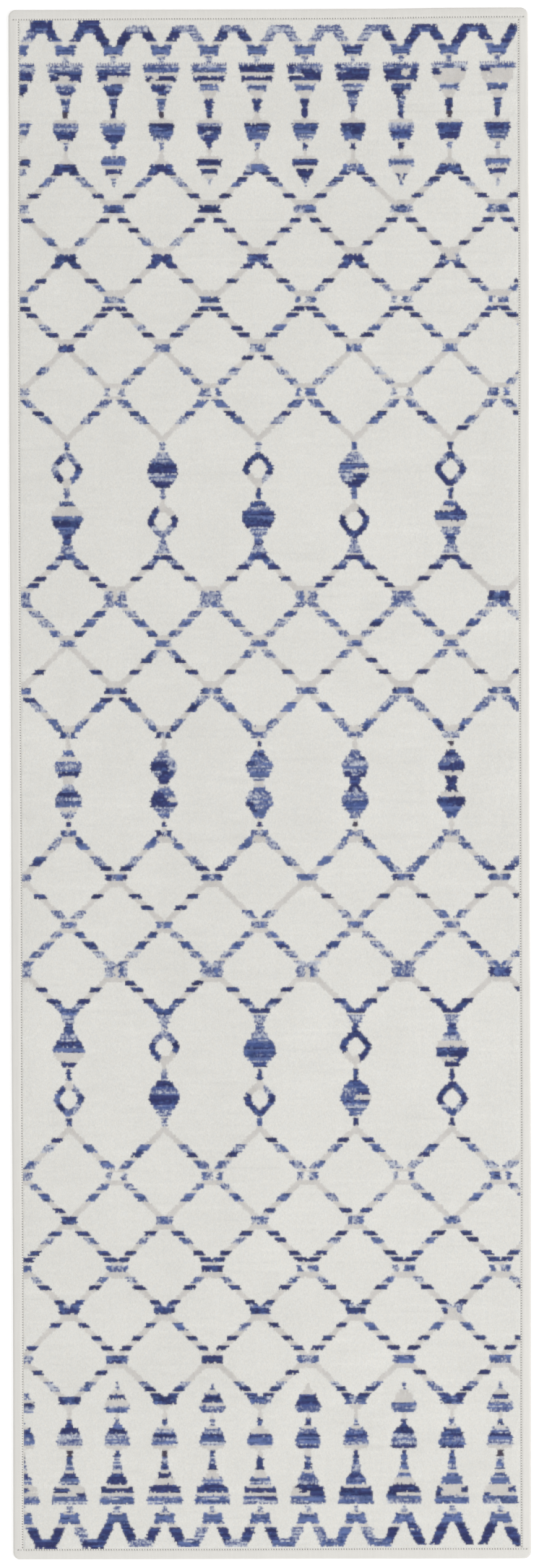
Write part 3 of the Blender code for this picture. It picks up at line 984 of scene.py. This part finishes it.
def ribbed_layer(name, node, ribs, crosswise, material):
    """A layer of parallel yarns as a closed ribbed cloth: its thickness swells and narrows once a yarn."""
    low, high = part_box(node)
    steps = ribs * (2 if crosswise else 4) + 1
    run = np.linspace(0, 1, steps)
    rib = 0.5 - 0.5 * np.cos(2 * np.pi * run * ribs)
    span = low.y + (high.y - low.y) * run if crosswise else low.x + (high.x - low.x) * run
    ends = np.array([low.x, high.x]) if crosswise else np.array([low.y, high.y])
    middle, thick = (low.z + high.z) / 2, (high.z - low.z) / 2
    reach = thick - YARN_GROOVE * (1 - rib)
    section = np.array([[0, 1], [1, 1], [1, -1], [0, -1]])
    if not crosswise:
        section = section[::-1]
    half = (high.y, high.x)[not crosswise]
    inset = HALF_WIDTH - high.x
    into_corner = np.clip(np.abs(span) - (half - CORNER_RADIUS + inset), 0, CORNER_RADIUS - inset)
    drawn_in = (CORNER_RADIUS - inset) - np.sqrt((CORNER_RADIUS - inset) ** 2 - into_corner ** 2)
    across = ends[section[:, 0]][None, :] - np.sign(ends[section[:, 0]])[None, :] * drawn_in[:, None]
    along = span[:, None] * np.ones(4)
    z = middle + reach[:, None] * section[:, 1]
    points = np.dstack([across, along, z] if crosswise else [along, across, z])
    piece = add_mesh(name, points.reshape(-1, 3), loops_of(4, steps), material)
    clean(piece)
    return on_root(piece, [node])


def make_back_coat(material):
    """The latex coat: thin ribs of the lowest weft show through it, and its rim steps up over the tapes."""
    low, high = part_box("back_coat")
    rim_z = TAPE_BOTTOM + TAPE_THICKNESS + GAP
    ribs = PICKS // 2
    run = np.linspace(-1, 1, ribs * 3 + 1)
    wave = COAT_GROOVE * (0.5 - 0.5 * np.cos(np.pi * (run + 1) * ribs))
    x = np.array([low.x, high.x, high.x, FIELD_X, FIELD_X, -FIELD_X, -FIELD_X, low.x])
    z = np.array([high.z, high.z, rim_z, rim_z, 0, 0, rim_z, rim_z])
    floor = (z == 0).astype(float)
    body_x, body_y = np.meshgrid(x, run * FIELD_Y)
    body_points = np.dstack([body_x, body_y, z + wave[:, None] * floor])
    radius = CORNER_RADIUS - (HALF_WIDTH - high.x)
    turn = np.linspace(0, np.pi / 2, 8)
    drawn_in = np.concatenate([[0, 0], radius * (1 - np.cos(turn))])
    reach = np.concatenate([[FIELD_Y, FIELD_Y + 0.0001], high.y - radius + radius * np.sin(turn)])
    rim_x = x - np.sign(x) * (np.abs(x) > FIELD_X) * drawn_in[:, None]
    rim_heights = np.ones((reach.size, 1)) * np.maximum(z, rim_z)
    far = np.dstack([rim_x, reach[:, None] * np.ones(8), rim_heights])
    near = far[::-1] * np.array([1, -1, 1])
    points = np.concatenate([near, body_points, far])
    piece = add_mesh("back_coat_latex", points.reshape(-1, 3), loops_of(8, len(points)), material)
    clean(piece)
    return on_root(piece, ["back_coat"])


def make_pressed_margin(material):
    """The pile that is pressed flat under the tape: a low rib carried round all four edges."""
    inset = np.array([RIB_INSET, FIELD_INSET - 0.00005, FIELD_INSET - 0.00005, RIB_INSET])
    height = np.array([PILE_ROOT + RIB_HEIGHT, PILE_ROOT + RIB_HEIGHT, PILE_ROOT, PILE_ROOT])
    radius = np.maximum(CORNER_RADIUS - inset, 0.0006)
    quarter = np.linspace(0, np.pi / 2, 7)[:, None]
    rounds = []
    for number, (side_x, side_y) in enumerate(((1, 1), (-1, 1), (-1, -1), (1, -1))):
        angle = quarter + number * np.pi / 2
        x = side_x * (HALF_WIDTH - inset - radius) + radius * np.cos(angle)
        y = side_y * (HALF_LENGTH - inset - radius) + radius * np.sin(angle)
        rounds.append(np.dstack([x, y, np.ones_like(x) * height]))
    points = np.concatenate(rounds)
    grid = np.arange(points.shape[0] * 4).reshape(-1, 4)
    onward, turned = np.roll(grid, -1, axis=0), np.roll(grid, -1, axis=1)
    both = np.roll(onward, -1, axis=1)
    faces = np.stack([grid, turned, both, onward], -1).reshape(-1, 4)
    piece = add_mesh("pressed_pile_margin", points.reshape(-1, 3), faces, material, smooth=False)
    clean(piece)
    shade = np.append(linear(YARNS["i"]), 1.0)
    keep_values(piece, "yarn_colour", "FLOAT_COLOR", "FACE", np.tile(shade, len(piece.data.polygons)))
    return on_root(piece)


# ---------------------------------------------------------------- materials


class Nodes:
    """Short ways to add and join the nodes of one material."""

    def __init__(self, name):
        self.material = bpy.data.materials.new(name)
        self.material.use_nodes = True
        self.tree = self.material.node_tree
        self.shader = self.tree.nodes["Principled BSDF"]
        self.place = self.add("ShaderNodeTexCoord").outputs["Object"]

    def fill(self, node, inputs):
        """Sets each input named to its number or colour, or joins it to another node's output."""
        for name, value in inputs.items():
            if isinstance(value, bpy.types.NodeSocket):
                self.tree.links.new(value, node.inputs[name])
            else:
                node.inputs[name].default_value = value

    def add(self, kind, inputs=None, **settings):
        node = self.tree.nodes.new(kind)
        for name, value in settings.items():
            setattr(node, name, value)
        self.fill(node, inputs or {})
        return node

    def noise(self, scale, detail=2.0, stretch=(1, 1, 1)):
        """Noise from 0 to 1 with about scale grains to the metre, drawn out where stretch is small."""
        mapping = self.add("ShaderNodeMapping", {"Scale": stretch, "Vector": self.place})
        inputs = {"Scale": scale, "Detail": detail, "Vector": mapping.outputs["Vector"]}
        return self.add("ShaderNodeTexNoise", inputs).outputs["Fac"]

    def wave(self, scale, direction, distortion=0.0):
        """Bands from 0 to 1 that follow one another in one direction."""
        inputs = {"Scale": scale, "Distortion": distortion, "Vector": self.place}
        return self.add("ShaderNodeTexWave", inputs, bands_direction=direction).outputs["Fac"]

    def span(self, value, low, high):
        """value, taken from 0 to 1, as a number from low to high."""
        inputs = {"Value": value, "To Min": low, "To Max": high}
        return self.add("ShaderNodeMapRange", inputs).outputs["Result"]

    def product(self, first, *others):
        """All the values multiplied together."""
        for other in others:
            first = self.add("ShaderNodeMath", {0: first, 1: other}, operation="MULTIPLY").outputs["Value"]
        return first

    def shade(self, colour, factor):
        """colour times a number."""
        inputs = {0: colour, "Scale": factor}
        return self.add("ShaderNodeVectorMath", inputs, operation="SCALE").outputs["Vector"]

    def mix(self, factor, first, second):
        """From the first colour to the second as factor goes from 0 to 1."""
        node = self.add("ShaderNodeMix", {"Factor": factor}, data_type="RGBA")
        for socket in node.inputs:
            if socket.identifier in ("A_Color", "B_Color"):
                socket.default_value = (*(first if socket.identifier == "A_Color" else second), 1.0)
        return next(socket for socket in node.outputs if socket.identifier == "Result_Color")

    def finish(self, colour, rough, height, distance, sheen):
        """Joins colour and roughness to the shader, sets its gloss, and raises its surface by height."""
        bump = self.add("ShaderNodeBump", {"Strength": 0.6, "Distance": distance, "Height": height})
        self.fill(self.shader, {"Base Color": colour, "Roughness": rough, "Normal": bump.outputs["Normal"]})
        self.fill(self.shader, {"Sheen Weight": sheen, "Sheen Roughness": 0.6, "Specular IOR Level": 0.25})
        return self.material


def dye(*colour):
    """8-bit sRGB as the three linear values that a node takes."""
    return linear(colour).tolist()


def pile_material():
    """Cut yarn: the knot's dye, broken by fibre ends and by streaks one or two fibres wide."""
    nodes = Nodes("cut_pile_yarn")
    dyed = nodes.add("ShaderNodeAttribute", attribute_name="yarn_colour").outputs["Color"]
    fibre = nodes.noise(2600, 3.0)
    streak = nodes.noise(900, 2.0, (1, 0.35, 1))
    tone = nodes.product(nodes.span(fibre, 0.84, 1.16), nodes.span(streak, 0.92, 1.08))
    return nodes.finish(nodes.shade(dyed, tone), nodes.span(fibre, 0.88, 1.0), fibre, 0.0003, 0.05)


def tape_material():
    """Ivory binding tape: fine plain weave, lengthwise streaks, and painted grey shade inside each needle
    hole.
    """
    nodes = Nodes("ivory_binding_tape")
    weave = nodes.product(nodes.wave(620, "X", 0.6), nodes.wave(560, "Y", 0.6))
    streak = nodes.noise(420, 3.0, (1, 0.06, 1))
    cloud = nodes.span(nodes.noise(38), 0.98, 1.02)
    hole = nodes.add("ShaderNodeAttribute", attribute_name="needle_hole_shade").outputs["Fac"]
    tone = nodes.product(nodes.span(streak, 0.955, 1.045), cloud, nodes.span(weave, 0.965, 1.02))
    # painted shade: the tape falls to 6 percent of its colour inside each needle hole
    tone = nodes.product(tone, nodes.span(hole, 1.0, 0.06))
    colour = nodes.shade(dye(223, 221, 216), tone)
    return nodes.finish(colour, nodes.span(streak, 0.82, 0.96), weave, 0.00012, 0.05)


def thread_material():
    """Spun ivory sewing thread with a close twist."""
    nodes = Nodes("ivory_sewing_thread")
    twist = nodes.wave(900, "DIAGONAL")
    fuzz = nodes.noise(1500)
    tone = nodes.product(nodes.span(twist, 0.9, 1.05), nodes.span(fuzz, 0.95, 1.05))
    colour = nodes.shade(dye(250, 249, 245), tone)
    return nodes.finish(colour, nodes.span(fuzz, 0.55, 0.75), twist, 0.00008, 0.1)


def yarn_material(name, colour, direction):
    """Undyed ground yarn: twisted strands with slubs and lighter and darker lengths."""
    nodes = Nodes(name)
    twist = nodes.wave(1100, direction, 1.5)
    slub = nodes.noise(300, 3.0, (0.1, 1, 1) if direction == "X" else (1, 0.1, 1))
    fuzz = nodes.noise(1800)
    tone = nodes.product(nodes.span(twist, 0.86, 1.06), nodes.span(slub, 0.85, 1.15))
    tone = nodes.product(tone, nodes.span(fuzz, 0.94, 1.06))
    return nodes.finish(nodes.shade(colour, tone), nodes.span(fuzz, 0.8, 0.95), twist, 0.00012, 0.1)


def latex_material():
    """Latex coat: cream film over the weave, thicker and smoother in patches, with yarn showing through."""
    nodes = Nodes("cream_latex_coat")
    weave = nodes.product(nodes.wave(318, "X", 0.8), nodes.wave(259, "Y", 0.8))
    patch = nodes.noise(60, 4.0)
    grain = nodes.noise(1200)
    colour = nodes.mix(nodes.span(patch, 0.1, 0.9), dye(196, 184, 158), dye(214, 206, 186))
    tone = nodes.product(nodes.span(weave, 0.84, 1.04), nodes.span(grain, 0.94, 1.06))
    return nodes.finish(nodes.shade(colour, tone), nodes.span(patch, 0.45, 0.75), weave, 0.0002, 0.0)


def floor_material():
    """Plain pale floor with a faint grain, lit a little from within."""
    nodes = Nodes("pale_floor")
    grain = nodes.noise(7, 3.0)
    colour = nodes.shade(dye(250, 250, 250), nodes.span(grain, 0.99, 1.0))
    nodes.fill(nodes.shader, {"Base Color": colour, "Roughness": nodes.span(grain, 0.85, 0.95)})
    nodes.fill(nodes.shader, {"Emission Color": (1.0, 1.0, 1.0, 1.0), "Emission Strength": 0.28})
    return nodes.material


# ---------------------------------------------------------------- floor, light and camera

FLOOR_HALF = 30.0
CAMERA_LENS = 200.0
CAMERA_TURN = 0.0023
FRAME_MARGIN = 1.0112
SENSOR = 36.0


def make_floor():
    """One level square under the rug."""
    corners = np.array([[-1, -1, 0], [1, -1, 0], [1, 1, 0], [-1, 1, 0]], float) * FLOOR_HALF
    mesh = bpy.data.meshes.new("floor")
    mesh.from_pydata(corners.tolist(), [], [(0, 1, 2, 3)])
    mesh.materials.append(floor_material())
    floor = show("floor", mesh)
    return floor


def add_light(name, place, size, power):
    """A square soft light aimed at the middle of the rug."""
    data = bpy.data.lights.new(name, "AREA")
    data.size = size
    data.energy = power
    lamp = show(name, data)
    lamp.location = place
    lamp.rotation_mode = "QUATERNION"
    lamp.rotation_quaternion = (-lamp.location).to_track_quat("-Z", "Y")


def make_studio():
    """An even white surround, and one broad light from the near right that gives the folds a soft shade."""
    world = bpy.data.worlds.new("studio")
    world.use_nodes = True
    background = world.node_tree.nodes["Background"]
    background.inputs["Color"].default_value = (1.0, 1.0, 1.0, 1.0)
    background.inputs["Strength"].default_value = 0.74
    bpy.context.scene.world = world
    add_light("broad_light", (4.8, -1.76, 5.76), 3.84, 256.0)
    bpy.context.scene.view_settings.view_transform = "Standard"


def make_camera():
    """Straight above the rug with a long lens, turned a hair so that the rug lies as it was laid."""
    data = bpy.data.cameras.new("camera")
    data.lens = CAMERA_LENS
    data.sensor_width = SENSOR
    data.clip_end = 200.0
    distance = 2 * HALF_LENGTH * FRAME_MARGIN * CAMERA_LENS / SENSOR
    camera = show("camera", data)
    camera.location = (0.0, 0.0, PILE_TOP + distance)
    camera.rotation_euler = (0.0, 0.0, -CAMERA_TURN)
    bpy.context.scene.camera = camera


def main():
    make_camera()
    floor = make_floor()
    make_studio()
    pile = pile_material()
    strips = make_pile(pile)
    margin = make_pressed_margin(pile)
    tape, thread = tape_material(), thread_material()
    tapes = [make_tape(number, tape) for number in range(4)]
    stitches = [make_stitches(number, kind, thread) for kind in ("needle", "bobbin") for number in range(4)]
    weft = yarn_material("undyed_weft_yarn", dye(188, 168, 134), "X")
    warp = yarn_material("undyed_stuffer_yarn", dye(206, 198, 180), "Y")
    upper = ribbed_layer("upper_weft_yarns", "upper_weft", PICKS, True, weft)
    stuffer = ribbed_layer("stuffer_warp_yarns", "stuffer_warp", KNOTS, False, warp)
    lower = ribbed_layer("lower_weft_yarns", "lower_weft", PICKS, True, weft)
    coat = make_back_coat(latex_material())


main()
